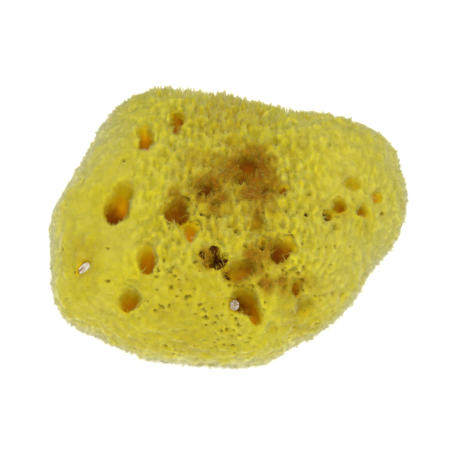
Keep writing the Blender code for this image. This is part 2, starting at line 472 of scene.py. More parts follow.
x, y, z = (points / MM).T
outer = smooth_step(*OUTER_SKY, seen) * smooth_step(*OUTER_LEVEL, points[:, 2])
calm = np.maximum(smooth_step(*CALM_LEFT, x), CALM_FRONT_SHARE * smooth_step(*CALM_FRONT, y))
calm = np.maximum(calm, CALM_RIGHT_SHARE * smooth_step(*CALM_RIGHT, x))
calm *= 1 - CALM_BACK_LOSS * smooth_step(*CALM_BACK_ENDS, y)
streaky = np.maximum(smooth_step(*STREAKY_BACK, y), smooth_step(*STREAKY_RIGHT, x))
streaky *= 1 - STREAKY_CALM_LOSS * calm
crown_middle = smooth_step(*MIDDLE_FADE, np.hypot(x - MIDDLE_AT[0], y - MIDDLE_AT[1]))
brow = smooth_step(*BROW_TILT, hull_normals[:, 2])
print("calm share of the skin:", round(float(calm.mean()), 2))

# %% [markdown]
# ## Brown stains
#
# Where the channels lie close together, the skin of a sponge keeps some of the brown of the living
# animal. A brush could paint it, but then nobody could change it later. So each stain is a line in a
# table: the plan place of its middle, how far it reaches, both in millimetres, and its strength. They
# fade out softly, and the strongest counts where they overlap.

# %% Brown stains
STAINS = (
    (0, 5, 26, 0.45),
    (7, 6, 14, 1.0),
    (8, 13, 10, 0.8),
    (0, 3, 8, 0.75),
    (9, -3, 11, 0.85),
    (15, -4, 7, 0.6),
    (-7, -2, 10, 0.85),
    (-15, -9, 5, 0.6),
    (-5, -10, 8, 0.7),
    (11, -11, 8, 0.55),
    (9, -17, 6, 0.5),
    (15, 1, 5, 0.75),
    (14, 9, 5, 0.75),
    (2, 13, 5, 0.7),
    (-6, 6, 6, 0.6),
    (-8, -8, 6, 0.75),
    (-2, -7, 5, 0.75),
    (-17, -12, 8, 0.7),
    (-18, -5, 5, 0.65),
    (-6, -28, 7, 0.9),
    (3, -32, 9, 0.6),
    (14, -26, 11, 0.7),
    (8, -28, 8, 0.75),
    (9, -31, 6, 0.75),
    (12, -36, 6, 0.8),
    (18, -35, 6, 0.75),
    (22, -34, 5, 0.6),
    (-38, -9, 6, 0.7),
    (38, -8, 6, 0.4),
)
STAIN_CORE = 0.15
STAIN_LEVEL = (15, 30)


def round_spot(middle_x, middle_y, across, core):
    return smooth_step(1.0, core, np.hypot(x - middle_x, y - middle_y) / across)


stain = np.zeros(len(points))
for spot_x, spot_y, across, strength in STAINS:
    stain = np.maximum(stain, strength * round_spot(spot_x, spot_y, across, STAIN_CORE))
stain *= smooth_step(*STAIN_LEVEL, z)
print("stained share of the skin:", round(float((stain > 0.3).mean()), 2))

# %% [markdown]
# ## Painted edge light and honey spots
#
# The skin is painted paler where it turns down at the sides and underneath, less so at the front, and
# near the cut, as painted edge light, and a little paler at the left and right of the crown. The middle
# and a few spots keep a warmer honey yellow, and one wide spot at the back darkens it as painted shade.
# The lump's tilt gives the first, and a second table, laid out like that of the stains, the spots.

# %% Painted edge light and honey spots
HONEY_AND_SHADE_SPOTS = (
    (-48, -22, 10, 0.6),
    (-46, -30, 8, 0.6),
    (-40, -6, 8, 0.5),
    (-31, -37, 8, 0.6),
    (-22, -18, 6, 0.6),
    (44, -8, 7, 0.6),
    # Painted shade: this wide spot darkens the back of the crown, which faces away from the lamp.
    (0, 28, 24, 1.0),
    (-12, -44, 18, 0.6),
    (22, -36, 12, 0.8),
)
HONEY_CORE = 0.3
GOLDEN_AT = (2, -6)
GOLDEN_FADE = (42, 8)
EDGE_LIGHT_TILT = (0.8, 0.1)
EDGE_LIGHT_FRONT = (0, 0.7)
EDGE_LIGHT_LEVEL = (14, 1)
PALE_LEFT = (-18, -42)
PALE_RIGHT = (14, 38)
PALE_LEFT_SHARE = 0.2
PALE_RIGHT_SHARE = 0.22
CORNER_X = (-25, -40)
CORNER_Y = (-8, 12)
CORNER_TILT = 0.2
UNDER_LIGHT_TILT = (0.12, -0.3)
HONEY_OVER_PALE = 0.8

# Painted edge light: paler where the lump turns down at the sides, near the cut and underneath, for
# light through the fine fibres there.
tilt = hull_normals[:, 2] - CORNER_TILT * smooth_step(*CORNER_X, x) * smooth_step(*CORNER_Y, y)
pale_and_edge_light = smooth_step(*EDGE_LIGHT_TILT, tilt) * (1 - smooth_step(*EDGE_LIGHT_FRONT, -hull_normals[:, 1]))
pale_and_edge_light = np.maximum(pale_and_edge_light, smooth_step(*EDGE_LIGHT_LEVEL, z))
pale_and_edge_light += PALE_LEFT_SHARE * smooth_step(*PALE_LEFT, x) + PALE_RIGHT_SHARE * smooth_step(*PALE_RIGHT, x)
golden = smooth_step(*GOLDEN_FADE, np.hypot(x - GOLDEN_AT[0], y - GOLDEN_AT[1]))
for spot_x, spot_y, across, strength in HONEY_AND_SHADE_SPOTS:
    spot = round_spot(spot_x, spot_y, across, HONEY_CORE)
    golden = np.maximum(golden, strength * spot)
    pale_and_edge_light *= 1 - HONEY_OVER_PALE * spot
under_light = smooth_step(*UNDER_LIGHT_TILT, hull_normals[:, 2])
pale_and_edge_light = np.minimum(np.maximum(pale_and_edge_light, under_light), 1) * outer
golden *= 1 - under_light
print("pale share of the skin:", round(float((pale_and_edge_light > 0.5).mean()), 2))

# %% [markdown]
# ## Scattering places
#
# Lumps, tufts, pores and hairs all need places that are random and yet never too close together. This
# helper walks through the points in a random order and keeps each one that has no kept neighbour
# within the spacing. A grid of cells saves it from comparing all with all.

# %% Scattering places
def scatter(points, order, spacing):
    kept = []
    cells = {}
    places = np.floor(points / spacing).astype(int)
    for index in order:
        column, row, layer = places[index]
        near = [
            other
            for i in (column - 1, column, column + 1)
            for j in (row - 1, row, row + 1)
            for k in (layer - 1, layer, layer + 1)
            for other in cells.get((i, j, k), ())
        ]
        if near and (np.sum((points[near] - points[index]) ** 2, axis=1) < spacing**2).any():
            continue
        cells.setdefault((column, row, layer), []).append(index)
        kept.append(index)
    return np.array(kept)


# %% [markdown]
# ## Strokes and lumps
#
# The ends of the main fibres push up small ridges, a millimetre and a half wide and twice as long,
# between softer lumps. A displacement texture could lift them, but the tufts below have to stand on
# their crests, so the heights are worked out here, from one stretched noise and one fine one.

# %% Strokes and lumps
STROKE_WIDTH = 1.5 * MM
STROKE_LENGTH = 3.0 * MM
STROKE_RISE = 2.0 * MM
GRAIN_WIDTH = 0.9 * MM
GRAIN_RISE = 0.5 * MM
LUMP_SPACING = 5.5 * MM
LUMP_RISE = 0.9 * MM
LUMP_REACH = 0.65 * LUMP_SPACING
RELIEF_CALM_LOSS = 0.9
TUFT_SPACING = 1.35 * MM
TUFT_OUTER = 0.3
CREST = (-0.25, 0.2)
CREST_FROM = -0.08

open_skin = dice.permutation(np.nonzero(outer > TUFT_OUTER)[0])
lumps = scatter(points, open_skin, LUMP_SPACING)
_, to_lump = nearest(tree_of(points[lumps]), points)
lump = smooth_step(LUMP_REACH, 0, to_lump) - 0.5

stroke_size = np.array([STROKE_WIDTH, STROKE_LENGTH, STROKE_WIDTH])
stroke = np.array([noise.noise(place) for place in points / stroke_size])
grain = np.array([noise.noise(place) for place in points / GRAIN_WIDTH])
crest = smooth_step(*CREST, stroke)
rise = (stroke * STROKE_RISE + grain * GRAIN_RISE) * (1 - RELIEF_CALM_LOSS * calm) * (0.5 + 0.5 * brow)

tips = scatter(points, open_skin[stroke[open_skin] > CREST_FROM], TUFT_SPACING)
tip_index, _ = nearest(tree_of(points[tips]), points)
print(len(lumps), "soft lumps and", len(tips), "places for a tuft")

# %% [markdown]
# ## Pores
#
# Between the ridges the skin is pricked with small pores, which come in clusters, most of them on the
# front of the crown. The clusters are random values that are blurred until they make broad patches.
# Ten pores are deeper and nearly black and have their own places, like the stains. All that is kept
# of a pore is how far each point is from its middle, in pore widths: that gives both its depth and its
# colour. A hole cut through the mesh would be truer, but it would need a finer mesh than this one.

# %% Pores
DEEP_PORES = (
    (-8, -27.6, 1.2),
    (-4.5, -25.6, 0.9),
    (-3.6, -28.6, 2.4),
    (-0.6, -32.1, 1.2),
    (10.9, -24.4, 1.0),
    (32.4, -10.4, 1.2),
    (-8.8, -13.5, 0.7),
    (-3.6, -14.2, 0.75),
    (3.3, -6.8, 0.6),
    (25.5, -12, 0.7),
)
DEEP_PORE_LEVEL = 30
DEEPEST_GAP = -0.9
PORE_SPACING = 1.7 * MM
PORE_OUTER = 0.35
PORE_CHANCE = 0.01
PORE_CHANCE_MIDDLE = 0.2
PORE_LEAST = 0.4
PORE_MORE = 0.9
PORE_FRAY = 0.8
LEAST_OUTER = 0.2
FAR_FROM_PORE = 2.5
CLUSTER_BLUR = 30
CLUSTER_STEP = (-1.2, 1.2)

clusters = blurred(dice.normal(0, 1, len(points)), edges, CLUSTER_BLUR)
clusters = (clusters - clusters.mean()) / clusters.std()
hollows = np.nonzero((outer > PORE_OUTER) & (stroke < 0))[0]
chance = PORE_CHANCE + PORE_CHANCE_MIDDLE * crown_middle[hollows]
chance *= smooth_step(*CLUSTER_STEP, clusters[hollows])
pores = scatter(points, dice.permutation(hollows[dice.random(len(hollows)) < chance]), PORE_SPACING)
pore_width = (PORE_LEAST + PORE_MORE * dice.random(len(pores)) ** 2) * MM
pore_index, to_pore = nearest(tree_of(points[pores]), points)
to_pore = to_pore / pore_width[pore_index] + grain * PORE_FRAY
pore_gap = np.where(outer > LEAST_OUTER, np.clip(to_pore, 0, FAR_FROM_PORE), FAR_FROM_PORE)
for pore_x, pore_y, across in DEEP_PORES:
    deep_gap = FAR_FROM_PORE * (np.hypot(x - pore_x, y - pore_y) / across - 1) + grain
    deep_gap = np.minimum(pore_gap, np.maximum(deep_gap, DEEPEST_GAP))
    pore_gap = np.where(z > DEEP_PORE_LEVEL, deep_gap, pore_gap)
print(len(pores), "scattered pores and", len(DEEP_PORES), "deep ones")

# %% [markdown]
# ## Pressing the relief in
#
# Every point now moves along its normal by ridge, lump and pore together. A bump in the material would
# look alike from above, but it would leave the outline smooth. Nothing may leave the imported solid's
# box, so that the sponge keeps its size.

# %% Pressing the relief in
PORE_DEPTH = 1.5 * MM
PORE_EDGE = (1.1, 0.3)
DEEP_EDGE = (0, -0.7)
LUMP_CALM_LOSS = 0.5

pore = smooth_step(*PORE_EDGE, pore_gap) * outer * (1 + smooth_step(*DEEP_EDGE, pore_gap))
height = (rise + lump * LUMP_RISE * (1 - LUMP_CALM_LOSS * calm)) * outer - pore * PORE_DEPTH
moved = np.clip(points + normals * height[:, None], solid_low, solid_high)
write_points(mesh, moved)
mesh.polygons.foreach_set("use_smooth", [True] * len(mesh.polygons))
fine_normals = read_vectors(mesh, "normal")
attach(skin, "root")
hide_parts("sponge")
print("relief from", round(height.min() / MM, 1), "to", round(height.max() / MM, 1), "mm")

# %% [markdown]
# ## One hair
#
# Particle hair would be quick, but it isn't a mesh. So one hair is modelled as a three-sided cone that
# stands on the origin and is one unit tall. Each bisection gives it a ring of points where it can
# bend, and the ring is widened a little, so that the hair stays thick for longer than a plain cone. It
# is handed on as bare points and faces, and every hair of the sponge is a stamp of it.

# %% One hair
HAIR_SIDES = 3


def modelled_hair(cuts):
    nothing_selected()
    bpy.ops.mesh.primitive_cone_add(vertices=HAIR_SIDES, radius1=1, radius2=0, depth=1)
    hair = bpy.context.object
    bpy.ops.object.mode_set(mode="EDIT")
    bpy.ops.mesh.select_all(action="SELECT")
    bpy.ops.transform.translate(value=(0, 0, 0.5))
    for level, swell in cuts:
        bpy.ops.mesh.select_all(action="SELECT")
        bpy.ops.mesh.bisect(plane_co=(0, 0, level), plane_no=(0, 0, 1))
        bpy.ops.transform.resize(value=(swell, swell, 1))
    bpy.ops.mesh.select_all(action="SELECT")
    bpy.ops.mesh.quads_convert_to_tris()
    bpy.ops.object.mode_set(mode="OBJECT")
    shape = read_vectors(hair.data, "co"), np.array([face.vertices[:] for face in hair.data.polygons])
    bpy.data.objects.remove(hair)
    return shape


strand = modelled_hair([(0.4, 1.3)])
print("a strand has", len(strand[1]), "triangles")

# %% [markdown]
# ## Stamping hairs into one mesh
#
# Each hair has a root, a way to grow, a bend, a length and a width. The stamp is laid along the way,
# pushed aside by the bend more and more towards the tip, and turned and flattened at random. All the
# copies are joined as they are made, since tens of thousands of objects would choke any scene. A hair
# so thin would flicker between light and dark, so its shading normals lean towards those of the skin
# it stands on. ground is the number of the skin point under it, and keen is how much of its own
# roundness it keeps.

# %% Stamping hairs into one mesh
Fur = namedtuple("Fur", "ground roots ways bends lengths widths")
BOX_MARGIN = 0.02 * MM
FLATNESS = (0.75, 1.3)


def stamped_points(shape_points, fur):
    count = len(fur.roots)
    first, second = side_vectors(fur.ways)
    turn = dice.uniform(0, 2 * math.pi, count)[:, None]
    side = first * np.cos(turn) + second * np.sin(turn)
    other = np.cross(fur.ways, side)
    flatness = dice.uniform(*FLATNESS, count)
    along = shape_points[:, 2]
    made = (
        fur.roots[:, None]
        + side[:, None] * shape_points[None, :, :1] * (fur.widths * flatness)[:, None, None]
        + other[:, None] * shape_points[None, :, 1:2] * (fur.widths / flatness)[:, None, None]
        + fur.ways[:, None] * along[None, :, None] * fur.lengths[:, None, None]
        + fur.bends[:, None] * (along**2)[None, :, None]
    ).reshape(-1, 3)
    return np.clip(made, solid_low + BOX_MARGIN, solid_high - BOX_MARGIN)


def stamped(name, shape, fur, keen, values):
    shape_points, shape_faces = shape
    made = stamped_points(shape_points, fur)
    count = len(fur.roots)
    faces = (shape_faces[None] + (np.arange(count) * len(shape_points))[:, None, None]).reshape(-1, 3)
    mesh = bpy.data.meshes.new(name)
    mesh.vertices.add(len(made))
    mesh.vertices.foreach_set("co", made.astype(np.float32).ravel())
    mesh.loops.add(faces.size)
    mesh.loops.foreach_set("vertex_index", faces.astype(np.int32).ravel())
    mesh.polygons.add(len(faces))
    mesh.polygons.foreach_set("loop_start", np.arange(len(faces), dtype=np.int32) * 3)
    mesh.polygons.foreach_set("use_smooth", [True] * len(faces))
    mesh.update(calc_edges=True)
    own = read_vectors(mesh, "normal") * np.repeat(keen, len(shape_points))[:, None]
    leaning = np.repeat(soft_normals[fur.ground], len(shape_points), axis=0)
    mesh.normals_split_custom_set_from_vertices(unit(leaning + own).tolist())
    for title, value in values.items():
        store(mesh, title, np.repeat(value, len(shape_points)))
    store(mesh, "along", np.tile(shape_points[:, 2], count))
    piece = bpy.data.objects.new(name, mesh)
    bpy.context.scene.collection.objects.link(piece)
    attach(piece, "root")
    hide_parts("sponge")
    print(name, len(faces), "triangles")
    return piece


# %% [markdown]
# ## Growing a coat
#
# A coat of hair is a piece of the sponge or, where it would be too heavy for one mesh, several pieces
# that are mixed through each other, so that no seam shows. Every hair takes the values of the ground
# it stands on, which is how a hair in a stain comes out brown. Its tone is mostly that of its tuft, so
# that the tufts differ more than the hairs of one tuft. paleness is how much paler than its ground a
# coat is where the skin is open.

# %% Growing a coat
MOST_TRIANGLES = 190000
CALM_KEEN_LOSS = 0.75
CALM_TONE_LOSS = 0.95
TUFT_TONE = 0.65
HAIR_TONE = 0.35
PALE_OUTER = (0.5, 1)
SOFT_NORMAL_BLUR = 6

cavity = 1 - seen
soft_normals = blurred_ways(fine_normals, edges, SOFT_NORMAL_BLUR)
tuft_tone = dice.uniform(0, 1, len(tips))
everywhere_far = np.full(len(points), FAR_FROM_PORE)
coats = []


def grow(name, shape, fur, keen, paleness, gaps=everywhere_far):
    count = len(fur.roots)
    tone = TUFT_TONE * tuft_tone[tip_index[fur.ground]] + HAIR_TONE * dice.uniform(0, 1, count)
    tone = 0.5 + (tone - 0.5) * (1 - CALM_TONE_LOSS * calm[fur.ground])
    parts = math.ceil(count * len(shape[1]) / MOST_TRIANGLES)
    for number, members in enumerate(np.array_split(dice.permutation(count), parts), start=1):
        part = Fur(*(column[members] for column in fur))
        pale_here = paleness * smooth_step(*PALE_OUTER, outer[part.ground])
        values = {
            "cavity": cavity[part.ground] * (1 - pale_here),
            "stain": stain[part.ground],
            "pale_and_edge_light": np.maximum(pale_and_edge_light[part.ground], pale_here),
            "golden": golden[part.ground],
            "calm": calm[part.ground],
            "tip_gap": tip_gap[part.ground],
            "pore_gap": gaps[part.ground],
            "tone": tone[members],
        }
        own_way = keen * (1 - CALM_KEEN_LOSS * calm[part.ground])
        coats.append(stamped(f"{name}_{number}", shape, part, own_way, values))


# %% [markdown]
# ## Tufts
#
# A tuft is a brush of eight hairs that start apart and meet at one point. It could be one solid spike,
# but then its edge would look cut with a knife. The tufts are longest and combed outwards where the
# skin is streaky, short where it is calm, and shorter at the sides, apart from some that stand out
# there and fray the outline. A hair starts off steeply and bends over towards the point.

# %% Tufts
HAIRS_PER_TUFT = 8
TUFT_LENGTH = (0.8, 2.2)
TUFT_STRAY = 0.2
TUFT_PORE = 1.2
TUFT_OPEN = 0.4
TUFT_SIZE = 0.85
STREAKY_LONGER = 0.75
CALM_SHORTER = 0.4
CALM_THINNER = 0.25
STAND_OUT = 0.6
COMB_OUT = 0.7
COMB_BACK = 0.12
COMBED = 0.8
FOOT_SPREAD = 0.6
TIP_SPREAD = 0.25 * MM
HAIR_LENGTH = (0.7, 1.15)
HAIR_WIDTH = (0.07, 0.12)
HAIR_STRAY = 0.08
HAIR_BEND = 0.8
HAIR_STEEP = 0.5
GAP_CALM_LOSS = 0.8
GAP_CALM = 0.45

# tip_gap is where the skin lies between the tufts. The colour paints shade there, and the fuzz is
# thinner there.
tip_gap = ((1 - crest) * (1 - GAP_CALM_LOSS * calm) + GAP_CALM * calm) * outer
flat_out = hull_normals * [1, 1, 0]
comb = flat_out * COMB_OUT + np.array([0, COMB_BACK, 0]) * streaky[:, None]

tuft_at = tips[(pore_gap[tips] > TUFT_PORE) & (outer[tips] > TUFT_OPEN)]
count = len(tuft_at)
calmed = CALM_SHORTER * calm[tuft_at] * (0.4 + 0.6 * brow[tuft_at])
tuft_size = TUFT_SIZE + STREAKY_LONGER * streaky[tuft_at] - calmed
tuft_length = tuft_size * dice.uniform(*TUFT_LENGTH, count) * MM
tuft_length *= 0.6 + 0.4 * np.maximum(brow[tuft_at], dice.random(count) > STAND_OUT)
tuft_way = unit(normals[tuft_at] + comb[tuft_at] * COMBED + dice.normal(0, TUFT_STRAY, (count, 3)))
tuft_end = moved[tuft_at] + tuft_way * tuft_length[:, None]

tuft_of = np.repeat(np.arange(count), HAIRS_PER_TUFT)
hairs = len(tuft_of)
first, second = side_vectors(normals[tuft_at])
angle = dice.uniform(0, 2 * math.pi, hairs)
spread = np.sqrt(dice.uniform(0, 1, hairs)) * TUFT_SPACING * FOOT_SPREAD
foot_at = (
    points[tuft_at][tuft_of]
    + first[tuft_of] * (np.cos(angle) * spread)[:, None]
    + second[tuft_of] * (np.sin(angle) * spread)[:, None]
)
root_at, _ = nearest(tree_of(points), foot_at)
reach = tuft_end[tuft_of] + dice.normal(0, TIP_SPREAD, (hairs, 3)) - moved[root_at]
lengths = np.linalg.norm(reach, axis=1) * dice.uniform(*HAIR_LENGTH, hairs)
ways = unit(unit(reach) + normals[root_at] * HAIR_STEEP + dice.normal(0, HAIR_STRAY, (hairs, 3)))
bends = (unit(reach) - ways) * lengths[:, None] * HAIR_BEND
widths = dice.uniform(*HAIR_WIDTH, hairs) * MM * (1 - CALM_THINNER * calm[root_at])
print(count, "tufts")
grow("hairs", strand, Fur(root_at, moved[root_at], ways, bends, lengths, widths), keen=0.9, paleness=0)

# %% [markdown]
# ## Fuzz
#
# Between and over the tufts lies a mist of hairs too thin to see one by one. It is what makes the edge
# of the sponge pale and soft. Straight needles of four triangles are enough for it. It leaves out the
# pores and is thinner in the hollows and in the stains.

# %% Fuzz
FUZZ_SPACING = 0.5 * MM
FUZZ_OUTER = 0.3
FUZZ_PORE = 0.25
FUZZ_LENGTH = (0.8, 1.8)
FUZZ_WIDTH = (0.035, 0.055)
FUZZ_STRAY = 0.3
FUZZ_GAP_LOSS = 0.6
FUZZ_STAIN_LOSS = 0.85
FUZZ_CALM_SHORTER = 0.2

needle = modelled_hair([])
sparse = dice.random(len(points)) > np.maximum(FUZZ_GAP_LOSS * tip_gap, FUZZ_STAIN_LOSS * stain)
fuzz_ground = np.nonzero((outer > FUZZ_OUTER) & (pore < FUZZ_PORE) & sparse)[0]
fuzz_at = scatter(moved, dice.permutation(fuzz_ground), FUZZ_SPACING)
count = len(fuzz_at)
stray = dice.normal(0, FUZZ_STRAY, (count, 3))
ways = unit(fine_normals[fuzz_at] * 0.5 + normals[fuzz_at] * 0.5 + comb[fuzz_at] * COMBED + stray)
lengths = dice.uniform(*FUZZ_LENGTH, count) * MM * (1 - FUZZ_CALM_SHORTER * calm[fuzz_at])
widths = dice.uniform(*FUZZ_WIDTH, count) * MM
straight = np.zeros((count, 3))
fuzz = Fur(fuzz_at, moved[fuzz_at], ways, straight, lengths, widths)
grow("fuzz", needle, fuzz, keen=0.35, paleness=0.5, gaps=pore_gap)

# %% [markdown]
# ## Hairs on the rims
#
# Short hairs hang over the lips of the channels and make their edges ragged. They grow a little
# towards the channel, which is the way in which the open sky shrinks: that way is added up from the
# edges of the mesh, each of which runs from a point that sees more to one that sees less.

# %% Hairs on the rims
RIM_SKY = (0.38, 0.68)
RIM_LEVEL = 8 * MM
RIM_CLUSTER = -0.8
RIM_SPACING = 0.45 * MM
RIM_LENGTH = (0.6, 1.8)
RIM_WIDTH = (0.07, 0.11)
RIM_BEND = (0.1, 0.6)
RIM_STRAY = 0.3
RIM_STAND = 0.6
RIM_LEAN = 0.8
RIM_BLUR = 3

inwards = np.zeros((len(points), 3))
step = points[edges[:, 1]] - points[edges[:, 0]]
fall = (seen[edges[:, 0]] - seen[edges[:, 1]])[:, None] * step
for axis in range(3):
    inwards[:, axis] = np.bincount(edges[:, 0], fall[:, axis], len(points))
    inwards[:, axis] += np.bincount(edges[:, 1], fall[:, axis], len(points))
inwards = blurred_ways(unit(inwards), edges, RIM_BLUR)

rim = (seen > RIM_SKY[0]) & (seen < RIM_SKY[1]) & (points[:, 2] > RIM_LEVEL) & (clusters > RIM_CLUSTER)
rim_at = scatter(moved, dice.permutation(np.nonzero(rim)[0]), RIM_SPACING)
count = len(rim_at)
stray = dice.normal(0, RIM_STRAY, (count, 3))
ways = unit(normals[rim_at] * RIM_STAND + inwards[rim_at] * RIM_LEAN + stray)
bends = inwards[rim_at] * dice.uniform(*RIM_BEND, (count, 1)) * MM
lengths = dice.uniform(*RIM_LENGTH, count) * MM
widths = dice.uniform(*RIM_WIDTH, count) * MM
rim_fur = Fur(rim_at, moved[rim_at], ways, bends, lengths, widths)
grow("rim_hairs", strand, rim_fur, keen=0.6, paleness=0.1)

# %% [markdown]
# ## Stray hairs
#
# In the middle of the crown, and most of all in the stain, single hairs stand up and curl over. Each
# leans to a random side, and its bend pulls its tip back down.

# %% Stray hairs
STRAY_SHARE = 0.25
STRAY_SPACING = 0.7 * MM
STRAY_OUTER = (0.35, 0.6)
STRAY_LENGTH = (1.2, 2.6)
STRAY_WIDTH = (0.10, 0.15)
STRAY_BEND = (0.4, 1.4)
STRAY_STAND = 0.9
STRAY_LEAN = 0.8
STRAY_CURL = 0.7
STRAY_DROOP = 0.9


def random_sideways(axes):
    first, second = side_vectors(axes)
    angle = dice.uniform(0, 2 * math.pi, len(axes))[:, None]
    return first * np.cos(angle) + second * np.sin(angle)


wild = smooth_step(*STRAY_OUTER, outer) * (1 - calm) * (0.3 + 0.7 * np.maximum(crown_middle, stain))
stray_ground = np.nonzero(dice.random(len(points)) < STRAY_SHARE * wild)[0]
stray_at = scatter(moved, dice.permutation(stray_ground), STRAY_SPACING)
count = len(stray_at)
sideways = random_sideways(normals[stray_at])
ways = unit(normals[stray_at] * STRAY_STAND + sideways * STRAY_LEAN)
curl = sideways * STRAY_CURL - normals[stray_at] * STRAY_DROOP
bends = curl * dice.uniform(*STRAY_BEND, (count, 1)) * MM
lengths = dice.uniform(*STRAY_LENGTH, count) * MM
widths = dice.uniform(*STRAY_WIDTH, count) * MM
strays = Fur(stray_at, moved[stray_at], ways, bends, lengths, widths)
grow("strays", strand, strays, keen=0.9, paleness=0.3)

# %% [markdown]
# ## Long threads
#
# A few longer fibres lie loosely over the tufts like lint. They need more bends than a hair, so their
# stamp is cut three times. They start just above the skin, and each curls down and to one side.

# %% Long threads
THREAD_CUTS = ((0.25, 1.1), (0.5, 1.15), (0.75, 1.2))
THREAD_OUTER = 0.6
THREAD_SPACING = 3.2 * MM
THREAD_LIFT = 0.2 * MM
THREAD_LENGTH = (2.5, 6.5)
THREAD_WIDTH = (0.08, 0.13)
THREAD_CURL = (-0.5, 0.5)
THREAD_RISE = 0.45
THREAD_DROOP = 0.4
THREAD_SHARE = 0.6
THREAD_LEFT = (-10, -40)
THREAD_LEFT_LOSS = 0.55

thread = modelled_hair(THREAD_CUTS)
thready = brow * (THREAD_SHARE - THREAD_LEFT_LOSS * smooth_step(*THREAD_LEFT, x))
thread_ground = np.nonzero((outer > THREAD_OUTER) & (dice.random(len(points)) < thready))[0]
thread_at = scatter(moved, dice.permutation(thread_ground), THREAD_SPACING)
count = len(thread_at)
up = soft_normals[thread_at]
sideways = random_sideways(up)
lengths = dice.uniform(*THREAD_LENGTH, count) * MM
ways = unit(sideways + up * THREAD_RISE)
curl = dice.uniform(*THREAD_CURL, (count, 1))
bends = (np.cross(up, sideways) * curl - up * THREAD_DROOP) * lengths[:, None]
roots = moved[thread_at] + up * THREAD_LIFT
widths = dice.uniform(*THREAD_WIDTH, count) * MM
threads = Fur(thread_at, roots, ways, bends, lengths, widths)
grow("threads", thread, threads, keen=0.4, paleness=0.3)

# %% [markdown]
# ## Web across the open channels
#
# Two channels run right through, and the pale table shows in them behind a few thin strands. A strand
# has to end on both walls, so a ray is cast both ways from a random place in the channel, square to
# the channel's slant, and the strand is stretched between the two hits. A line of the table holds the
# plan place of a channel, how many strands are tried, and the heading and spread of their ways in
# degrees: in the narrow slit they nearly lie along it, and in the round channel they go all ways.

# %% Web across the open channels
THROUGH_CHANNELS = (
    (-47.2, -26.9, 30, 54, 15),
    (1.6, -41.2, 90, 0, 180),
)
THROUGH_LEAN = math.radians(34)
WEB_REACH = 6 * MM
WEB_OUTER = 0.5
WEB_DEPTH = (2, 14)
WEB_SPREAD = 0.8
WEB_SAG = 0.3 * MM
WEB_WIDTH = (0.05, 0.10)

skin_tree = BVHTree.FromObject(skin, bpy.context.evaluated_depsgraph_get())
slant = np.array([0, -math.sin(THROUGH_LEAN), math.cos(THROUGH_LEAN)])


def web_strands(channel_x, channel_y, tries, heading, spread):
    mouth = (np.hypot(x - channel_x, y - channel_y) < WEB_REACH / MM) & (outer > WEB_OUTER)
    mouth &= z > z[mouth].max() - WEB_REACH / MM
    middle = np.array([channel_x, channel_y, z[mouth].mean()]) * MM
    for _ in range(tries):
        turn = math.radians(heading + dice.uniform(-spread, spread))
        way = np.array([math.cos(turn), math.sin(turn), 0])
        way = unit(way - slant * (way @ slant))
        start = middle + (dice.normal(0, WEB_SPREAD, 3) - slant * dice.uniform(*WEB_DEPTH)) * MM
        from_side = skin_tree.ray_cast(start, -way, WEB_REACH)[0]
        to_side = skin_tree.ray_cast(start, way, WEB_REACH)[0]
        if from_side and to_side:
            yield from_side, to_side


web = np.array([ends for channel in THROUGH_CHANNELS for ends in web_strands(*channel)])
web_at, _ = nearest(tree_of(moved), web[:, 0])
count = len(web)
span = web[:, 1] - web[:, 0]
bends = dice.normal(0, WEB_SAG, (count, 3))
widths = dice.uniform(*WEB_WIDTH, count) * MM
lengths = np.linalg.norm(span, axis=1)
web_fur = Fur(web_at, web[:, 0], unit(span), bends, lengths, widths)
grow("web", strand, web_fur, keen=0.9, paleness=1)

# %% [markdown]
# ## Values for the colour
#
# The skin stores the same values that the hairs have taken from it, so that both can share one recipe
# for their colour. It counts as the foot of every hair, so its own place along a hair is 0.

# %% Values for the colour
SKIN_TONE_CALM_LOSS = 0.7

skin_values = {
    "cavity": cavity,
    "stain": stain,
    "pale_and_edge_light": pale_and_edge_light,
    "golden": golden,
    "calm": calm,
    "pore_gap": pore_gap,
    "tip_gap": tip_gap,
    "tone": 0.5 + (tuft_tone[tip_index] - 0.5) * (1 - SKIN_TONE_CALM_LOSS * calm),
    "along": np.zeros(len(points)),
}
for title, value in skin_values.items():
    store(mesh, title, value)
print("stored:", ", ".join(skin_values))

# %% [markdown]
# ## A recipe of nodes
#
# A material is a recipe that Blender reads for every spot of the surface. A painted image would blur
# when seen close, and these nodes don't. Wiring them by hand gets long, so this class keeps the node
# tree at hand and has one short word for each step: read a stored value, make a noise, add, multiply,
# step softly, or mix two colours. The noises use Object coordinates, so their pattern stays put on the
# sponge.

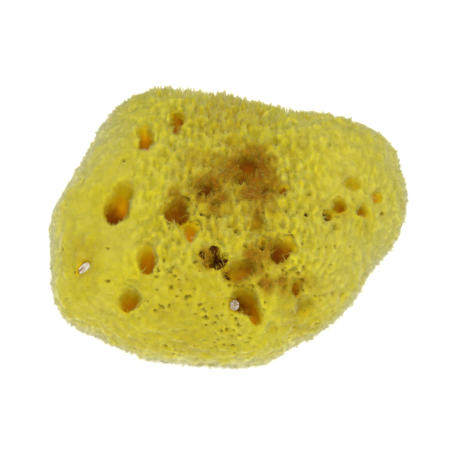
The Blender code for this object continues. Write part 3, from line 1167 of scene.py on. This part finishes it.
# %% A recipe of nodes
class Recipe:
    def __init__(self, name):
        self.material = bpy.data.materials.new(name)
        self.material.use_nodes = True
        self.nodes = self.material.node_tree.nodes
        self.links = self.material.node_tree.links
        self.shader = self.nodes["Principled BSDF"]
        self.place = self.nodes.new("ShaderNodeTexCoord").outputs["Object"]

    def set(self, **values):
        for title, value in values.items():
            self.shader.inputs[title.replace("_", " ")].default_value = value

    def wire(self, value, socket):
        if isinstance(value, tuple):
            socket.default_value = (*value, 1)
        elif isinstance(value, (int, float)):
            socket.default_value = value
        else:
            self.links.new(value, socket)

    def stored(self, name):
        node = self.nodes.new("ShaderNodeAttribute")
        node.attribute_name = name
        return node.outputs["Fac"]

    def combined(self, operation, first, second, clamp=False):
        node = self.nodes.new("ShaderNodeMath")
        node.operation = operation
        node.use_clamp = clamp
        self.wire(first, node.inputs[0])
        self.wire(second, node.inputs[1])
        return node.outputs[0]

    def times(self, first, second):
        return self.combined("MULTIPLY", first, second)

    def plus(self, first, second, clamp=False):
        return self.combined("ADD", first, second, clamp)

    def one_less(self, value):
        return self.combined("SUBTRACT", 1.0, value, True)

    def stepped(self, value, low, high):
        node = self.nodes.new("ShaderNodeMapRange")
        node.interpolation_type = "SMOOTHSTEP"
        node.inputs["From Min"].default_value = low
        node.inputs["From Max"].default_value = high
        self.wire(value, node.inputs["Value"])
        return node.outputs["Result"]

    def noise(self, scale, detail):
        node = self.nodes.new("ShaderNodeTexNoise")
        node.inputs["Scale"].default_value = scale
        node.inputs["Detail"].default_value = detail
        self.wire(self.place, node.inputs["Vector"])
        return self.combined("SUBTRACT", node.outputs["Fac"], 0.5)

    def mixed(self, amount, first, second):
        node = self.nodes.new("ShaderNodeMix")
        node.data_type = "RGBA"
        colours = [socket for socket in node.inputs if socket.type == "RGBA"]
        self.wire(amount, node.inputs["Factor"])
        self.wire(first, colours[0])
        self.wire(second, colours[1])
        return next(socket for socket in node.outputs if socket.type == "RGBA")


# %% [markdown]
# ## Yellow of the open skin
#
# Spongin is a clear lemon gold. It is painted cream at the flanks, as painted edge light, and is a
# warmer honey in the middle. Between the tufts it is painted darker olive, as painted shade where less
# light gets in, most of all at the hair feet. The tips of the hairs are the lightest.

# %% Yellow of the open skin
SKIN_GOLD = (0.64, 0.56, 0.022)
SKIN_CREAM = (0.67, 0.62, 0.13)
SKIN_HONEY = (0.52, 0.41, 0.014)
EDGE_LIGHT_CREAM = (0.63, 0.60, 0.27)
TIP_LEMON = (0.66, 0.64, 0.16)
# Painted shade: the olive and brown that the skin is painted between the tufts.
GAP_SHADE_OLIVE = (0.32, 0.25, 0.010)
GAP_SHADE_BROWN = (0.32, 0.20, 0.008)


def open_skin_colour(recipe, patches, mottle, inner):
    times, plus, mixed, stepped = recipe.times, recipe.plus, recipe.mixed, recipe.stepped
    # Cream towards the flanks is painted edge light, with random pale patches in it.
    pale_and_edge_light = plus(recipe.stored("pale_and_edge_light"), times(patches, 0.6), True)
    colour = mixed(stepped(pale_and_edge_light, 0.0, 0.6), SKIN_GOLD, SKIN_CREAM)
    colour = mixed(times(stepped(pale_and_edge_light, 0.4, 1.1), 0.9), colour, EDGE_LIGHT_CREAM)
    # golden holds the honey spots and, at the back of the crown, painted shade.
    golden = plus(recipe.stored("golden"), times(patches, 2.0), True)
    colour = mixed(times(golden, 0.8), colour, SKIN_HONEY)
    roughness = recipe.combined("SUBTRACT", 1.0, times(recipe.stored("calm"), 0.85))
    speckle = times(plus(times(patches, 0.8), times(mottle, 1.2)), roughness)
    # Painted shade between the tufts, with random patches in it, strongest at the hair feet.
    gaps = plus(times(recipe.stored("tip_gap"), 0.8), speckle, True)
    gaps = times(gaps, recipe.one_less(times(pale_and_edge_light, 0.7)))
    between = mixed(stepped(golden, 0.55, 1.1), GAP_SHADE_OLIVE, GAP_SHADE_BROWN)
    colour = mixed(times(gaps, times(inner, 0.85)), colour, between)
    tone = recipe.combined("SUBTRACT", recipe.stored("tone"), 0.5)
    tips = plus(times(recipe.stored("along"), 0.35), times(tone, 0.7), True)
    return mixed(tips, colour, TIP_LEMON)


# %% [markdown]
# ## Amber and painted shade of the channels
#
# Down in a channel the yellow is painted gold and then amber, the deeper the point lies. This is partly
# the channel's own amber and partly painted shade, for light that comes through ever more fibre. The
# share of the sky that a point doesn't see says how deep it lies.

# %% Amber and painted shade of the channels
DENT_GOLD_AND_SHADE = (0.60, 0.45, 0.010)
CHANNEL_GOLD_AND_SHADE = (0.64, 0.44, 0.004)
CHANNEL_AMBER_AND_SHADE = (0.61, 0.26, 0.001)


def with_channel_amber_and_shade(recipe, colour, depth):
    # Painted shade, partly the channel's own amber: the less sky a point sees, the more gold and amber.
    colour = recipe.mixed(recipe.stepped(depth, 0.15, 0.38), colour, DENT_GOLD_AND_SHADE)
    colour = recipe.mixed(recipe.stepped(depth, 0.3, 0.55), colour, CHANNEL_GOLD_AND_SHADE)
    return recipe.mixed(recipe.stepped(depth, 0.52, 0.85), colour, CHANNEL_AMBER_AND_SHADE)


# %% [markdown]
# ## Brown of the stains
#
# A stain goes from olive at its rim to brown, and to red-brown where it runs down into a channel. Hair
# tips take less of it than their feet.

# %% Brown of the stains
STAIN_OLIVE = (0.36, 0.22, 0.008)
STAIN_BROWN = (0.28, 0.110, 0.005)
STAIN_RED = (0.30, 0.085, 0.003)


def with_stains(recipe, colour, worn, depth, inner):
    brown = recipe.mixed(recipe.stepped(worn, 0.5, 1.0), STAIN_OLIVE, STAIN_BROWN)
    brown = recipe.mixed(recipe.stepped(depth, 0.5, 0.85), brown, STAIN_RED)
    foot = recipe.plus(recipe.times(inner, 0.6), 0.4)
    return recipe.mixed(recipe.times(recipe.stepped(worn, 0.1, 0.8), foot), colour, brown)


# %% [markdown]
# ## Dark of the pores
#
# A pore is too small for light to find its floor, so it is simply painted: olive, and umber in the ten
# deep ones. A fine grain frays its edge.

# %% Dark of the pores
PORE_OLIVE = (0.26, 0.18, 0.006)
PORE_UMBER = (0.085, 0.022, 0.003)


def with_pores(recipe, colour, grain):
    holes = recipe.plus(recipe.stored("pore_gap"), grain)
    colour = recipe.mixed(recipe.times(recipe.stepped(holes, 1.2, 0.2), 0.8), colour, PORE_OLIVE)
    return recipe.mixed(recipe.stepped(holes, 0.4, -0.4), colour, PORE_UMBER)


# %% [markdown]
# ## Spongin
#
# Spongin is dull, lets some light through and glows a little at its edge. Subsurface light with a long
# reach for red and hardly any for blue gives the warm depth. A cream sheen, which shows where a surface
# is seen edge on, stands for the finest down, and it is left out of the channels and the stains. Hairs
# need less inner light than the skin, because they are so thin.

# %% Spongin
SPONGIN_ROUGHNESS = 0.95
SPONGIN_REACH = (1.0, 0.7, 0.12)
SPONGIN_SCALE = 2.5 * MM
SHEEN_ROUGHNESS = 0.33
SHEEN_CREAM = (0.95, 0.93, 0.64, 1)
SHEEN = 0.9
SKIN_GLOW = 0.5
HAIR_GLOW = 0.12
PATCH_SCALE = 110
MOTTLE_SCALE = 300
GRAIN_SCALE = 900


def spongin(name, glow):
    recipe = Recipe(name)
    recipe.set(
        Roughness=SPONGIN_ROUGHNESS, Specular_IOR_Level=0.0, Subsurface_Weight=glow,
        Subsurface_Radius=SPONGIN_REACH, Subsurface_Scale=SPONGIN_SCALE,
        Sheen_Roughness=SHEEN_ROUGHNESS, Sheen_Tint=SHEEN_CREAM,
    )
    times, plus, stepped = recipe.times, recipe.plus, recipe.stepped
    patches = recipe.noise(PATCH_SCALE, 3)
    mottle = recipe.noise(MOTTLE_SCALE, 2)
    inner = recipe.one_less(recipe.stored("along"))
    depth = plus(recipe.stored("cavity"), plus(times(patches, 0.25), times(mottle, 0.25)))
    worn = plus(recipe.stored("stain"), plus(times(patches, 1.1), times(mottle, 0.4)))
    colour = open_skin_colour(recipe, patches, mottle, inner)
    colour = with_channel_amber_and_shade(recipe, colour, depth)
    colour = with_stains(recipe, colour, worn, depth, inner)
    colour = with_pores(recipe, colour, recipe.noise(GRAIN_SCALE, 1))
    downy = times(stepped(depth, 0.3, 0.1), stepped(worn, 0.6, 0.1))
    recipe.wire(times(downy, SHEEN), recipe.shader.inputs["Sheen Weight"])
    recipe.wire(colour, recipe.shader.inputs["Base Color"])
    return recipe.material


skin_paint = spongin("spongin_skin", SKIN_GLOW)
hair_paint = spongin("spongin_hair", HAIR_GLOW)
for piece in [skin, *coats]:
    piece.data.materials.append(skin_paint if piece == skin else hair_paint)
bpy.ops.object.select_all(action="DESELECT")
print(len(coats) + 1, "pieces painted")
